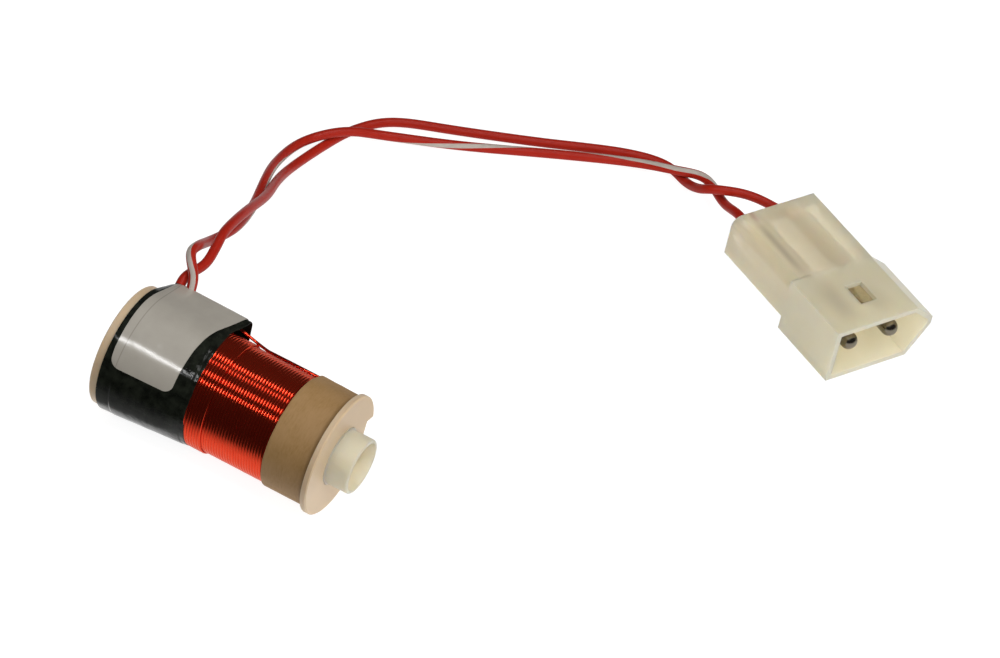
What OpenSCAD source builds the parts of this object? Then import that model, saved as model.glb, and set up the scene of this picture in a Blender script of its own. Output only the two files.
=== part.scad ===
// Small solenoid coil with a nylon plunger sleeve and a pair of plugged leads.
// Millimetres, +Z up. The coil lies on its cover tape with its axis along X,
// and the sleeve nose points to +X.

/* [Bobbin] */
// Outside diameter of both end flanges
flange_d = 16.4; // [15.5:0.1:17]
// Length over both flanges
bobbin_len = 31.8; // [28:0.1:40]
// Thickness of the back flange
back_flange_t = 1.2; // [1:0.1:2]
// Thickness of the front flange
front_flange_t = 0.8; // [0.6:0.1:1.5]
// Wall of the tube the wire is wound on
tube_wall = 0.8; // [0.5:0.1:1.2]
// Width of the slot in the front flange rim
notch_w = 4.4; // [2:0.1:6]
// Depth of that slot from the rim
notch_depth = 2.1; // [1:0.1:3]
// Angle of the slot, measured up from the far side
notch_angle = -10; // [-40:1:20]

/* [Sleeve] */
// Bore that guides a quarter inch plunger
bore_d = 6.6; // [5:0.1:7]
// Wall of the sleeve at its nose
sleeve_wall = 0.45; // [0.4:0.05:0.8]
// Step from the nose out to the body of the sleeve
nose_step = 0.18; // [0.16:0.02:0.3]
// Gap from the front flange to that step
step_gap = 0.1; // [0.1:0.05:0.4]
// Length of the nose past the front flange
nose_len = 3.2; // [2:0.1:6]
// Diameter of the stop collar at the back
collar_d = 9.8; // [9:0.1:12]
// Thickness of the stop collar
collar_t = 0.8; // [0.5:0.1:1.5]
// Radial clearance between sleeve and bobbin
slide_gap = 0.05; // [0.02:0.01:0.1]

/* [Winding] */
// Enamelled wire diameter, one turn
wire_d = 0.4; // [0.3:0.02:0.5]
// Depth of the last full layer below the flange rim
rim_depth = 0.9; // [0.8:0.1:1.6]
// Turns of the part layer that show past the cover tape
top_turns = 6; // [2:1:10]

/* [Tapes and label] */
// Width of the black cover tape
cover_w = 12; // [9:0.1:14]
// Thickness of the cover tape, all its turns together
cover_t = 0.5; // [0.3:0.05:1]
// Thickness of the paper wrap under the cover tape
wrap_t = 0.2; // [0.1:0.05:0.3]
// Tape thickness where it is tented over the joints
tent_t = 0.33; // [0.2:0.01:0.4]
// Angle of the tent, measured up from the far side
tent_angle = 40; // [30:1:60]
// Width of the tan paper tape at the front end
front_tape_w = 6.3; // [4:0.1:8]
// Thickness of that tape
front_tape_t = 0.25; // [0.1:0.05:0.4]
// Width of the label along the coil
label_w = 9; // [6:0.1:10]
// Gap from the back flange to the label
label_gap = 1.25; // [0.5:0.05:2]
// Thickness of the label
label_t = 0.1; // [0.06:0.02:0.2]
// Corner radius of the label
label_corner = 1.2; // [0.5:0.1:2]

/* [Leads] */
// Diameter over the insulation
lead_d = 1.3; // [1.1:0.05:1.35]
// Diameter of the bare strands
strand_d = 0.7; // [0.5:0.05:0.8]
// First lead exit, from the back face
exit_a = 2.7; // [2.6:0.1:3]
// Spacing of the two lead exits along the coil
exit_pitch = 1.6; // [1.5:0.1:2]

/* [Plug] */
// Spacing of the two contacts
pitch = 6.7; // [6.35:0.05:7]
// Contact pin diameter
pin_d = 2.36; // [1.57:0.01:2.5]
// Length of the narrow rear body
plug_body_len = 13.6; // [11:0.1:15]
// Length of the front shroud
shroud_len = 11.1; // [9:0.1:13]
// Height of the shroud
shroud_h = 8.4; // [8:0.1:9]
// Wall of the shroud
shroud_wall = 0.7; // [0.6:0.1:1.2]
// Height of the contacts above the shroud base
pin_z = 4.4; // [4.2:0.1:4.6]
// Distance of the pin tips behind the shroud mouth
pin_setback = 0.6; // [0.4:0.1:3]

/* [Hidden] */
$fn = 96;
eps = 0.02;
tube_sides = 8;

// Coil stack-up, radii from the axis
bore_r = bore_d / 2;
nose_r = bore_r + sleeve_wall;
sleeve_r = nose_r + nose_step;
tube_in_r = sleeve_r + slide_gap;
tube_out_r = tube_in_r + tube_wall;
flange_r = flange_d / 2;
main_r = flange_r - rim_depth;
core_r = main_r - wire_d;
top_r = main_r + wire_d;
wrap_r = top_r + wrap_t;
cover_r = wrap_r + cover_t;
axis_z = cover_r;

// Stations along the axis, from the back face of the bobbin
wind_x0 = back_flange_t;
wind_x1 = bobbin_len - front_flange_t;
cover_x1 = wind_x0 + cover_w;
top_x1 = cover_x1 + top_turns * wire_d;
tan_x0 = wind_x1 - front_tape_w;
sleeve_x1 = bobbin_len + nose_len;
mid_x = (sleeve_x1 - collar_t) / 2;

// Soldered joints under the tent
joint_d = 1.6;
joint_r = wrap_r + 0.05 + joint_d / 2;
tent_in = joint_d / 2 + 0.12;
tent_out = tent_in + tent_t;
joint_inset = 0.7;
joint_len = 1.5;
joint_space = 0.3;
tape_lap = 2.8;
joint_a = [wind_x0 + joint_inset, wind_x0 + joint_inset + joint_len];
joint_b = [joint_a[1] + joint_space, cover_x1 - tape_lap];
exit_b = exit_a + exit_pitch;
strand_r0 = joint_r + joint_d / 2 - 0.2;
lead_r0 = joint_r + tent_in + 0.08;
start_r = wrap_r + wire_d / 2 + 0.03;

// Label band, angles up from the far side
label_x0 = wind_x0 + label_gap;
label_from = tent_angle + 1;
label_to = 156;
label_mid = (label_from + label_to) / 2;
label_far = 2 * flange_d;

// Plug outline, y to the pointed side and z up from the table
plug_left = -7.7;
shroud_foot = 5.5;
shroud_point = 8.6;
shroud_top = 5.5;
point_lo = 4.6;
point_hi = 5.9;
body_left = -7.6;
body_base = 2;
body_top = shroud_h - 0.2;
body_point = 6.4;
body_edge = 0.3;
cavity_d = 3.4;
pin_mid = -0.4;
pin_v = [pin_mid - pitch / 2, pin_mid + pitch / 2];
throat_u = plug_body_len - 2.5;
floor_u = plug_body_len + 0.3;
plug_len = plug_body_len + shroud_len;
window_u = [plug_len - 7.4, plug_len - 3.75];
window_y = [-1.3, 1.3];
plug_yaw = -28.1;
plug_at = [53.7, 79.8, 0];
tip_u = plug_len - pin_setback;
crimp_u = 3.9;
fit_gap = 0.03;

// A point of the plug, u ahead of its back face and v to its pointed side
function plug_point(u, v) = [
  plug_at[0] + u * cos(plug_yaw) - v * sin(plug_yaw),
  plug_at[1] + u * sin(plug_yaw) + v * cos(plug_yaw),
  pin_z];

// A point on the tent ridge, x from the back face and r from the coil axis
function ridge_point(x, r) = [x, r * cos(tent_angle), axis_z + r * sin(tent_angle)];

// Lead routes, x from the back face of the bobbin, z above the table
route_striped = concat(
  [ridge_point(exit_b, lead_r0)],
  [[3.8, 8.7, 16.1], [1.8, 10.9, 17.2], [1.3, 13.9, 16.2], [0.2, 19.2, 12.6]],
  [[0.6, 25.3, 10.8], [-1.4, 33.8, 7.5], [-3.9, 41.8, 5.7], [-5.6, 48.3, 3.5]],
  [[-5.8, 55.6, 1.8], [-2.3, 60.7, 2.2], [2.2, 65, 1], [11.1, 70.3, 0.7]],
  [[21.5, 77, 0.7], [30.9, 82.3, 1], [37.4, 83.4, 2.4], [41.3, 84.8, 2.2]],
  [[45.7, 81.1, 2.8], [49.4, 77.8, 5]],
  [plug_point(1, pin_v[0]), plug_point(crimp_u, pin_v[0])]);
route_plain = concat(
  [ridge_point(exit_a, lead_r0)],
  [[2.6, 9.1, 15.2], [3.2, 12.7, 14.9], [2.7, 16.2, 15.3], [2.1, 19.2, 15.5]],
  [[1.1, 26.3, 13.2], [-0.5, 35.3, 8.8], [-2.8, 42.8, 5], [-4.2, 49.8, 1.9]],
  [[-3.7, 57.7, 0.7], [-2.2, 63.4, 0.7], [1.2, 68.5, 0.7], [9.1, 72.7, 0.7]],
  [[19, 78, 0.7], [28.9, 83.7, 0.7], [34.9, 85.4, 0.7], [38.9, 83.7, 0.9]],
  [[41.9, 81, 3.3], [44.4, 80.4, 5], [48.8, 82.7, 4.8]],
  [plug_point(-1, pin_v[1]), plug_point(1.5, pin_v[1]), plug_point(crimp_u, pin_v[1])]);

// Smooth curve through the route points, two steps to a span
function at(p, i) = p[max(0, min(len(p) - 1, i))];
function blend(a, b, c, d, t) = 0.5 * (2 * b + (c - a) * t
  + (2 * a - 5 * b + 4 * c - d) * t * t + (3 * b - 3 * c + d - a) * t * t * t);
function curve(p) = concat(
  [for (i = [0 : len(p) - 2], t = [0, 0.5])
    blend(at(p, i - 1), at(p, i), at(p, i + 1), at(p, i + 2), t)],
  [p[len(p) - 1]]);
function unit(v) = v / norm(v);
function heading(c, i) = i == 0 ? unit(c[1] - c[0])
  : i == len(c) - 1 ? unit(c[i] - c[i - 1]) : unit(c[i + 1] - c[i - 1]);
// Each ring carries the sideways vector of the ring before it
function sides(c, i, prev) = i == len(c) ? []
  : let (h = heading(c, i), s = unit(prev - h * (prev * h))) concat([s], sides(c, i + 1, s));

module tube(path, d) {
  c = curve(path);
  n = len(c);
  s = sides(c, 0, [1, 0, 0]);
  m = tube_sides;
  pts = [for (i = [0 : n - 1], k = [0 : m - 1])
    let (h = heading(c, i), v = cross(h, s[i]), a = 360 * k / m)
    c[i] + d / 2 * (cos(a) * s[i] + sin(a) * v)];
  skin = [for (i = [0 : n - 2], k = [0 : m - 1])
    [m * i + k, m * (i + 1) + k, m * (i + 1) + (k + 1) % m, m * i + (k + 1) % m]];
  ends = [[for (k = [0 : m - 1]) k], [for (k = [m - 1 : -1 : 0]) m * (n - 1) + k]];
  polyhedron(pts, concat(skin, ends), convexity = 10);
}

// Coil frame: local x to the far side, local y up, local z along the coil
module coil_frame() {
  translate([-mid_x, 0, axis_z]) rotate([90, 0, 90]) children();
}

module table_frame() {
  translate([-mid_x, 0, 0]) children();
}

// Plug frame: local x ahead, local y to the pointed side, local z up
module plug_frame() {
  table_frame() translate(plug_at) rotate([0, 0, plug_yaw]) children();
}

// Solid swept from a y-z outline along the plug
module plug_slice(u0, u1) {
  translate([u0, 0, 0]) rotate([90, 0, 90]) linear_extrude(u1 - u0) children();
}

// Cylinder ahead along the plug at a height above the base
module plug_rod(v, u0, u1, d) {
  translate([u0, v, pin_z]) rotate([0, 90, 0]) cylinder(d = d, h = u1 - u0);
}

// Cylinder along the coil on the tent ridge
module ridge_rod(r, x0, x1, d) {
  rotate([0, 0, tent_angle]) translate([r, 0, x0]) cylinder(d = d, h = x1 - x0);
}

// Cylinder standing out of the coil on the tent ridge
module ridge_stem(x, r0, r1, d) {
  rotate([0, 0, tent_angle]) translate([r0, 0, x]) rotate([0, 90, 0]) cylinder(d = d, h = r1 - r0);
}

module ring(r0, r1, x0, x1) {
  translate([0, 0, x0]) rotate_extrude() translate([r0, 0]) square([r1 - r0, x1 - x0]);
}

// Round band drawn up over the soldered joints, tangent to both circles
module tent(big, small) {
  a = acos((big - small) / joint_r);
  circle(big);
  rotate(tent_angle) {
    translate([joint_r, 0]) circle(small);
    polygon([
      [big * cos(a), -big * sin(a)],
      [joint_r + small * cos(a), -small * sin(a)],
      [joint_r + small * cos(a), small * sin(a)],
      [big * cos(a), big * sin(a)]]);
  }
}

// One layer of turns lying side by side on radius r
module turns(r, x0, count) {
  translate([r, x0]) square([wire_d * 0.56, count * wire_d]);
  for (i = [0 : count - 1])
    translate([r + wire_d / 2, x0 + (i + 0.5) * wire_d]) circle(d = wire_d, $fn = 24);
}

// Slot outline with its outer corners eased
module notch_outline() {
  c = 0.6;
  d = notch_depth;
  translate([0, -notch_w / 2]) square([d + 1, notch_w]);
  difference() {
    translate([d - c, -notch_w / 2 - c]) square([c + 1, notch_w + 2 * c]);
    translate([d - c, -notch_w / 2 - c + eps]) circle(c, $fn = 32);
    translate([d - c, notch_w / 2 + c - eps]) circle(c, $fn = 32);
  }
}

module bobbin() {
  color("#d9c3a8") coil_frame() difference() {
    rotate_extrude() polygon([
      [tube_in_r, 0],
      [flange_r - 0.15, 0],
      [flange_r, 0.15],
      [flange_r, wind_x0],
      [tube_out_r, wind_x0],
      [tube_out_r, wind_x1],
      [flange_r, wind_x1],
      [flange_r, bobbin_len - 0.15],
      [flange_r - 0.15, bobbin_len],
      [tube_in_r, bobbin_len]]);
    // slot in the front rim that the winding machine catches the wire in
    rotate([0, 0, notch_angle]) translate([flange_r - notch_depth, 0, wind_x1 - eps])
      linear_extrude(front_flange_t + 2 * eps) notch_outline();
    // groove in the back flange for the wire from the first turn
    rotate([0, 0, tent_angle]) translate([tube_out_r + 0.1, -0.25, wind_x0 - 0.5]) cube([flange_r, 0.5, 1]);
  }
}

module coil_sleeve() {
  color("#e2dcc4") coil_frame() rotate_extrude() polygon([
    [bore_r + 0.2, -collar_t],
    [collar_d / 2, -collar_t],
    [collar_d / 2, -slide_gap],
    [sleeve_r, -slide_gap],
    [sleeve_r, bobbin_len + step_gap],
    [nose_r, bobbin_len + step_gap],
    [nose_r, sleeve_x1 - 0.2],
    [nose_r - 0.15, sleeve_x1],
    [bore_r, sleeve_x1],
    [bore_r, 0.2 - collar_t]]);
}

module winding_core() {
  color("#8a1a12") coil_frame() ring(tube_out_r, core_r, wind_x0, wind_x1);
}

// Last full layer, round turns where it shows and plain under the tapes
module winding_main() {
  count = floor((tan_x0 - top_x1) / wire_d);
  color("#c62a1c") coil_frame() rotate_extrude() {
    translate([core_r, wind_x0]) square([wire_d, top_x1 - wind_x0]);
    turns(core_r, top_x1, count);
    translate([core_r, top_x1 + count * wire_d])
      square([wire_d, wind_x1 - top_x1 - count * wire_d]);
  }
}

// Part layer that runs out a few turns past the cover tape
module winding_top() {
  color("#d2301f") coil_frame() rotate_extrude() {
    translate([main_r, wind_x0]) square([wire_d, cover_w - wire_d]);
    turns(main_r, cover_x1 - wire_d, top_turns + 1);
  }
}

// Wire from the first turn, up the groove in the flange to its joint
module start_wire() {
  x = wind_x0 - 0.25;
  color("#b3261b") coil_frame() {
    ridge_stem(x, tube_out_r + 0.15, start_r, wire_d);
    rotate([0, 0, tent_angle]) translate([start_r, 0, x]) sphere(d = wire_d);
    ridge_rod(start_r, x, joint_a[0], wire_d);
  }
}

// Wire from the last turn, back over the winding to its joint
module finish_wire() {
  rise = atan((joint_r - 0.3 - main_r - wire_d * 0.6) / (tan_x0 - joint_b[1]));
  color("#b3261b") coil_frame() rotate([0, 0, tent_angle]) intersection() {
    translate([main_r + wire_d * 0.6, 0, tan_x0]) rotate([0, -rise, 0])
      translate([0, 0, -tan_x0]) cylinder(d = wire_d, h = 2 * tan_x0, $fn = 32);
    translate([0, -wire_d, joint_b[1]]) cube([flange_d, 2 * wire_d, tan_x0 - joint_b[1]]);
  }
}

module under_wrap() {
  color("#9c7c52") coil_frame() ring(top_r, wrap_r, wind_x0, cover_x1 - wire_d);
}

module splice(span, x) {
  color("#b9bcc0") coil_frame() difference() {
    ridge_rod(joint_r, span[0], span[1], joint_d);
    ridge_stem(x, strand_r0, lead_r0, strand_d);
  }
}

module splice_start() {
  splice(joint_a, exit_a);
}

module splice_finish() {
  splice(joint_b, exit_b);
}

module strands_plain_coil() {
  color("#c77b4a") coil_frame() ridge_stem(exit_a, strand_r0, lead_r0, strand_d);
}

module strands_striped_coil() {
  color("#c77b4a") coil_frame() ridge_stem(exit_b, strand_r0, lead_r0, strand_d);
}

module cover_tape() {
  color("#15171a") coil_frame() difference() {
    translate([0, 0, wind_x0]) linear_extrude(cover_w) tent(cover_r, tent_out);
    translate([0, 0, wind_x0 - eps]) linear_extrude(cover_w + 2 * eps) tent(wrap_r, tent_in);
    ridge_stem(exit_a, joint_r, joint_r + 2 * tent_out, lead_d + 2 * fit_gap);
    ridge_stem(exit_b, joint_r, joint_r + 2 * tent_out, lead_d + 2 * fit_gap);
  }
}

module front_tape() {
  color("#96764e") coil_frame() ring(main_r, main_r + front_tape_t, tan_x0, wind_x1);
}

module label_arc() {
  intersection() {
    difference() {
      tent(cover_r + label_t, tent_out + label_t);
      tent(cover_r, tent_out);
    }
    polygon([
      [0, 0],
      [label_far * cos(label_from), label_far * sin(label_from)],
      [label_far * cos(label_mid), label_far * sin(label_mid)],
      [label_far * cos(label_to), label_far * sin(label_to)]]);
  }
}

// Waste outside a rounded corner, towards +1 or -1 along the coil
module corner_waste(side) {
  c = label_corner;
  difference() {
    translate([-c, side > 0 ? -eps : -c]) square([c + eps, c + eps]);
    translate([-c + eps, side * (c - eps)]) circle(c, $fn = 48);
  }
}

module label() {
  color("#d0cbc6") coil_frame() difference() {
    translate([0, 0, label_x0]) linear_extrude(label_w) label_arc();
    rotate([0, 0, label_to]) translate([cover_r - 1, 0, label_x0])
      rotate([90, 0, 90]) linear_extrude(2) corner_waste(1);
    rotate([0, 0, label_to]) translate([cover_r - 1, 0, label_x0 + label_w])
      rotate([90, 0, 90]) linear_extrude(2) corner_waste(-1);
    ridge_stem(exit_a, joint_r, joint_r + 2 * tent_out, lead_d + 2 * fit_gap);
    ridge_stem(exit_b, joint_r, joint_r + 2 * tent_out, lead_d + 2 * fit_gap);
  }
}

module lead_plain() {
  color("#a5201c") table_frame() tube(route_plain, lead_d);
}

module lead_striped() {
  color("#b0241f") table_frame() tube(route_striped, lead_d);
}

module shroud_outline() {
  polygon([
    [plug_left, 0],
    [shroud_foot, 0],
    [shroud_point, point_lo],
    [shroud_point, point_hi],
    [shroud_top, shroud_h],
    [plug_left, shroud_h]]);
}

module mouth_outline() {
  w = shroud_wall;
  polygon([
    [plug_left + w, w],
    [shroud_foot - 0.6 * w, w],
    [shroud_point - w, point_lo + 0.3 * w],
    [shroud_point - w, point_hi - 0.5 * w],
    [shroud_top - 0.35 * w, shroud_h - w],
    [plug_left + w, shroud_h - w]]);
}

module body_outline() {
  polygon([
    [body_left, body_base],
    [shroud_foot - 0.6, body_base],
    [body_point, point_lo - 0.6],
    [body_point, point_hi],
    [shroud_top + 0.3, body_top],
    [body_left + body_edge, body_top],
    [body_left, body_top - body_edge]]);
}

module plug_housing() {
  color("#d6cba8") plug_frame() difference() {
    union() {
      plug_slice(0, plug_body_len + eps) body_outline();
      plug_slice(plug_body_len, plug_len) shroud_outline();
    }
    plug_slice(floor_u, plug_len + eps) mouth_outline();
    for (v = pin_v) {
      plug_rod(v, -eps, throat_u, cavity_d);
      plug_rod(v, throat_u - eps, floor_u + eps, pin_d + 2 * fit_gap);
    }
    // window in the top wall that shows the pin
    translate([window_u[0], window_y[0], shroud_h - shroud_wall - eps])
      cube([window_u[1] - window_u[0], window_y[1] - window_y[0], shroud_wall + 2 * eps]);
  }
}

// Stamped and rolled contact: pin, stop ring, lock tangs and two crimps
module terminal(v) {
  tang_u = throat_u - 2.2;
  color("#b8b4ac") plug_frame() {
    difference() {
      union() {
        plug_rod(v, 7.6, tip_u - pin_d / 2, pin_d);
        translate([tip_u - pin_d / 2, v, pin_z]) sphere(d = pin_d);
        plug_rod(v, throat_u - 0.65, throat_u - 0.05, cavity_d - 0.2);
        plug_rod(v, 4.9, 7.6, 1.7);
        plug_rod(v, 1.6, 4.3, lead_d + 0.6);
        translate([2, v - 0.5, pin_z - 0.95]) cube([5, 1, 0.25]);
        for (s = [-1, 1])
          translate([tang_u, v - 0.4, pin_z]) rotate([-90, 0, 0]) linear_extrude(0.8)
            polygon([[0, 0], [0, s * 1.6], [0.2, s * 1.6], [1.5, s * 0.9], [1.5, 0]]);
      }
      plug_rod(v, 1.6 - eps, 4.3 + eps, lead_d + 2 * fit_gap);
      plug_rod(v, 4.3, 7.4, strand_d);
      // open throat between the two crimps
      translate([4.3, v - 2, pin_z - 0.6]) cube([0.6, 4, 3]);
    }
  }
}

module pin_left() {
  terminal(pin_v[0]);
}

module pin_right() {
  terminal(pin_v[1]);
}

module strands_striped_pin() {
  color("#c77b4a") plug_frame() plug_rod(pin_v[0], crimp_u, 7.4, strand_d);
}

module strands_plain_pin() {
  color("#c77b4a") plug_frame() plug_rod(pin_v[1], crimp_u, 7.4, strand_d);
}

bobbin();
coil_sleeve();
winding_core();
winding_main();
winding_top();
start_wire();
finish_wire();
under_wrap();
splice_start();
splice_finish();
strands_plain_coil();
strands_striped_coil();
cover_tape();
front_tape();
label();
lead_plain();
lead_striped();
plug_housing();
pin_left();
pin_right();
strands_striped_pin();
strands_plain_pin();
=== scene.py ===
import math

import bmesh
import bpy
from mathutils import Matrix, Vector, noise


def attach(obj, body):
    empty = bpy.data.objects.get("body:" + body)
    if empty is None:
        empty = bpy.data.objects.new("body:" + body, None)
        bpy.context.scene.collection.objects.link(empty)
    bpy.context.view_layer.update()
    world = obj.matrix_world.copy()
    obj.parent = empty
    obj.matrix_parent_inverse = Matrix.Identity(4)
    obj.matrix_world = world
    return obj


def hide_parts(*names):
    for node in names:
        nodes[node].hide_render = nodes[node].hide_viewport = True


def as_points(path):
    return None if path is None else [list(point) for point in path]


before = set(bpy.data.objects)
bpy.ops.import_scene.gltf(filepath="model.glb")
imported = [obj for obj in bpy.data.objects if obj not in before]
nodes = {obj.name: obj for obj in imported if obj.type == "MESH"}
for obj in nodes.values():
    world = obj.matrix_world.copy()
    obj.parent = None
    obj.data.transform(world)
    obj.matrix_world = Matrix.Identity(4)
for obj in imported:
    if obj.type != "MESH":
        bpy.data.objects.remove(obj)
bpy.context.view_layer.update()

MM = 0.001

# Coil sizes in millimetres. Stations run along the coil from the bobbin's back face,
# and turns are degrees about the axis, up from the far side.
MID_X = 17.1
AXIS_Z = 8.4
WIRE_D = 0.4
MAIN_R = 7.12
MAIN_TURNS = 27
MAIN_START = 14.4
TOP_R = 7.36
TOP_TURNS = 9
TOP_END = 15.6
TAIL_X = (25.4, 11.2)
COVER_X = (1.2, 13.2)
COVER_R = (8.62, 7.72)
COVER_T = 0.2
COVER_SUNK = 0.03
COVER_LAID = 12.4
LAST_WRAP_X = 3.1
LAST_WRAP_T = 0.07
LAST_WRAP_IN = 0.65
WRAP_EDGE = 0.14
TABLE_GAP = 0.02
JOINT_R = 8.75
TENT_OUT = (1.32, 1.18)
TENT_TURN = 40.0
TENT_BACK = 2.8
TENT_SINK = 0.95
WRAP_R = 7.9
WRAP_T = 0.2
WRAP_W = 11.2
PAPER_X = (24.9, 31.0)
PAPER_R = (7.3, 7.55)
LABEL_TURN = (41.0, 156.0)
LABEL_T = 0.1
LABEL_CORNER = 1.2

# Plug sizes in millimetres
PLUG_AT = (53.7, 79.8)
PLUG_YAW = math.radians(-28.1)
PIN_Z = 4.4
PIN_V = (-3.75, 2.95)
BODY_LEFT = -7.6
BODY_TOP = 8.2
BODY_EDGE = 0.3

# Lead sizes in millimetres
LEAD_D = 1.3
LEAD_SIDES = 24
LEAD_START_R = 9.75
TRACER_SIDES = 4
CRIMP_U = 3.9


def table_spot(x, y, z):
    """A point given along, across and above the table, x from the bobbin's back face."""
    return Vector((x - MID_X, y, z)) * MM


def coil_spot(x, turn, r):
    """A point on the coil, by its station, its turn and its distance from the axis."""
    a = math.radians(turn)
    return table_spot(x, r * math.cos(a), AXIS_Z + r * math.sin(a))


def plug_spot(u, v, z=PIN_Z):
    """A point of the plug, u ahead of its back face and v towards its pointed side."""
    c, s = math.cos(PLUG_YAW), math.sin(PLUG_YAW)
    return table_spot(PLUG_AT[0] + u * c - v * s, PLUG_AT[1] + u * s + v * c, z)


def ripple(x, y, z=0.0):
    """Smooth unevenness from about -1 to 1, one cell to a unit."""
    return noise.noise(Vector((x, y, z)))


# Camera, set where the photograph was taken from
LENS_RIGHT = Vector((0.86084, 0.48130, 0.16524)).normalized()
LENS_UP = Vector((-0.43564, 0.52921, 0.72811))
LENS_UP = (LENS_UP - LENS_RIGHT * LENS_UP.dot(LENS_RIGHT)).normalized()
LENS_BACK = LENS_RIGHT.cross(LENS_UP)
LENS_AT = Vector((0.18795, -0.41530, 0.43554))

photo_camera = bpy.data.objects.new("photo_camera", bpy.data.cameras.new("photo_camera"))
photo_camera.data.sensor_width = 36.0
photo_camera.data.lens = 180.0
photo_camera.data.clip_start = 0.05
photo_camera.data.clip_end = 30.0
photo_camera.matrix_world = Matrix.Translation(LENS_AT) @ Matrix(
    (LENS_RIGHT, LENS_UP, LENS_BACK)
).transposed().to_4x4()
bpy.context.scene.collection.objects.link(photo_camera)
bpy.context.scene.camera = photo_camera
bpy.context.scene.view_settings.view_transform = "Standard"


# Meshes

def shown(name, mesh, crease=40.0):
    """Puts a mesh in the scene, smooth except at edges sharper than the crease angle."""
    mesh.polygons.foreach_set("use_smooth", [True] * len(mesh.polygons))
    mesh.set_sharp_from_angle(angle=math.radians(crease))
    piece = bpy.data.objects.new(name, mesh)
    bpy.context.scene.collection.objects.link(piece)
    return piece


def skin(name, rings, loop=False, plan=None, tracer=None, crease=40.0):
    """A closed surface through rings of points: loop joins the last ring to the first, or else
    both ends are capped. plan lays corner (ring, point) flat in mm, tracer marks painted faces."""
    bm = bmesh.new()
    flat = bm.loops.layers.uv.new("flat")
    rows = [[bm.verts.new(p) for p in ring] for ring in rings]
    count = len(rings[0])
    for i in range(len(rows) if loop else len(rows) - 1):
        a, b = rows[i], rows[(i + 1) % len(rows)]
        for k in range(count):
            j = (k + 1) % count
            face = bm.faces.new((a[k], a[j], b[j], b[k]))
            if tracer and tracer(i, k):
                face.material_index = 1
            if plan:
                corners = ((i, k), (i, k + 1), (i + 1, k + 1), (i + 1, k))
                for corner, spot in zip(face.loops, corners):
                    corner[flat].uv = plan(*spot)
    if not loop:
        bm.faces.new(rows[0])
        bm.faces.new(rows[-1])
    bmesh.ops.recalc_face_normals(bm, faces=bm.faces)
    mesh = bpy.data.meshes.new(name)
    bm.to_mesh(mesh)
    bm.free()
    return shown(name, mesh, crease)


# Leads, along the routes of the part's own solids

STRIPED_ROUTE = [
    coil_spot(4.3, TENT_TURN, LEAD_START_R),
    *[table_spot(*p) for p in (
        (3.8, 8.7, 16.1), (1.8, 10.9, 17.2), (1.3, 13.9, 16.2), (0.2, 19.2, 12.6),
        (0.6, 25.3, 10.8), (-1.4, 33.8, 7.5), (-3.9, 41.8, 5.7), (-5.6, 48.3, 3.5),
        (-5.8, 55.6, 1.8), (-2.3, 60.7, 2.2), (2.2, 65, 1), (11.1, 70.3, 0.7),
        (21.5, 77, 0.7), (30.9, 82.3, 1), (37.4, 83.4, 2.4), (41.3, 84.8, 2.2),
        (45.7, 81.1, 2.8), (49.4, 77.8, 5))],
    plug_spot(1, PIN_V[0]),
    plug_spot(CRIMP_U, PIN_V[0]),
]
PLAIN_ROUTE = [
    coil_spot(2.7, TENT_TURN, LEAD_START_R),
    *[table_spot(*p) for p in (
        (2.6, 9.1, 15.2), (3.2, 12.7, 14.9), (2.7, 16.2, 15.3), (2.1, 19.2, 15.5),
        (1.1, 26.3, 13.2), (-0.5, 35.3, 8.8), (-2.8, 42.8, 5), (-4.2, 49.8, 1.9),
        (-3.7, 57.7, 0.7), (-2.2, 63.4, 0.7), (1.2, 68.5, 0.7), (9.1, 72.7, 0.7),
        (19, 78, 0.7), (28.9, 83.7, 0.7), (34.9, 85.4, 0.7), (38.9, 83.7, 0.9),
        (41.9, 81, 3.3), (44.4, 80.4, 5), (48.8, 82.7, 4.8))],
    plug_spot(-1, PIN_V[1]),
    plug_spot(1.5, PIN_V[1]),
    plug_spot(CRIMP_U, PIN_V[1]),
]
ROUTE_STEPS = 8
ROUTE_EASINGS = 6

# Which way the tracer stripe faces, degrees to the right of travel from the front,
# at each point of the striped route
TRACER_TURN = [
    10, 0, -30, -100, -180, -262, -276, -288, -286, -240, -200, -240, -358, -482,
    -408, -380, -392, -470, -500, -520, -540,
]


def smooth_route(points):
    """Rounded line through the route's points, in even steps, with its tight bends eased."""
    last = len(points) - 1
    line = []
    for i in range(last):
        a, b = points[max(0, i - 1)], points[i]
        c, d = points[i + 1], points[min(last, i + 2)]
        for k in range(ROUTE_STEPS):
            t = k / ROUTE_STEPS
            line.append(0.5 * (2 * b + (c - a) * t + (2 * a - 5 * b + 4 * c - d) * t * t
                               + (3 * b - 3 * c + d - a) * t ** 3))
    line.append(points[-1].copy())
    for _ in range(ROUTE_EASINGS):
        line = [line[0]] + [
            (line[i - 1] + 2 * line[i] + line[i + 1]) / 4 for i in range(1, len(line) - 1)
        ] + [line[-1]]
    return line


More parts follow.
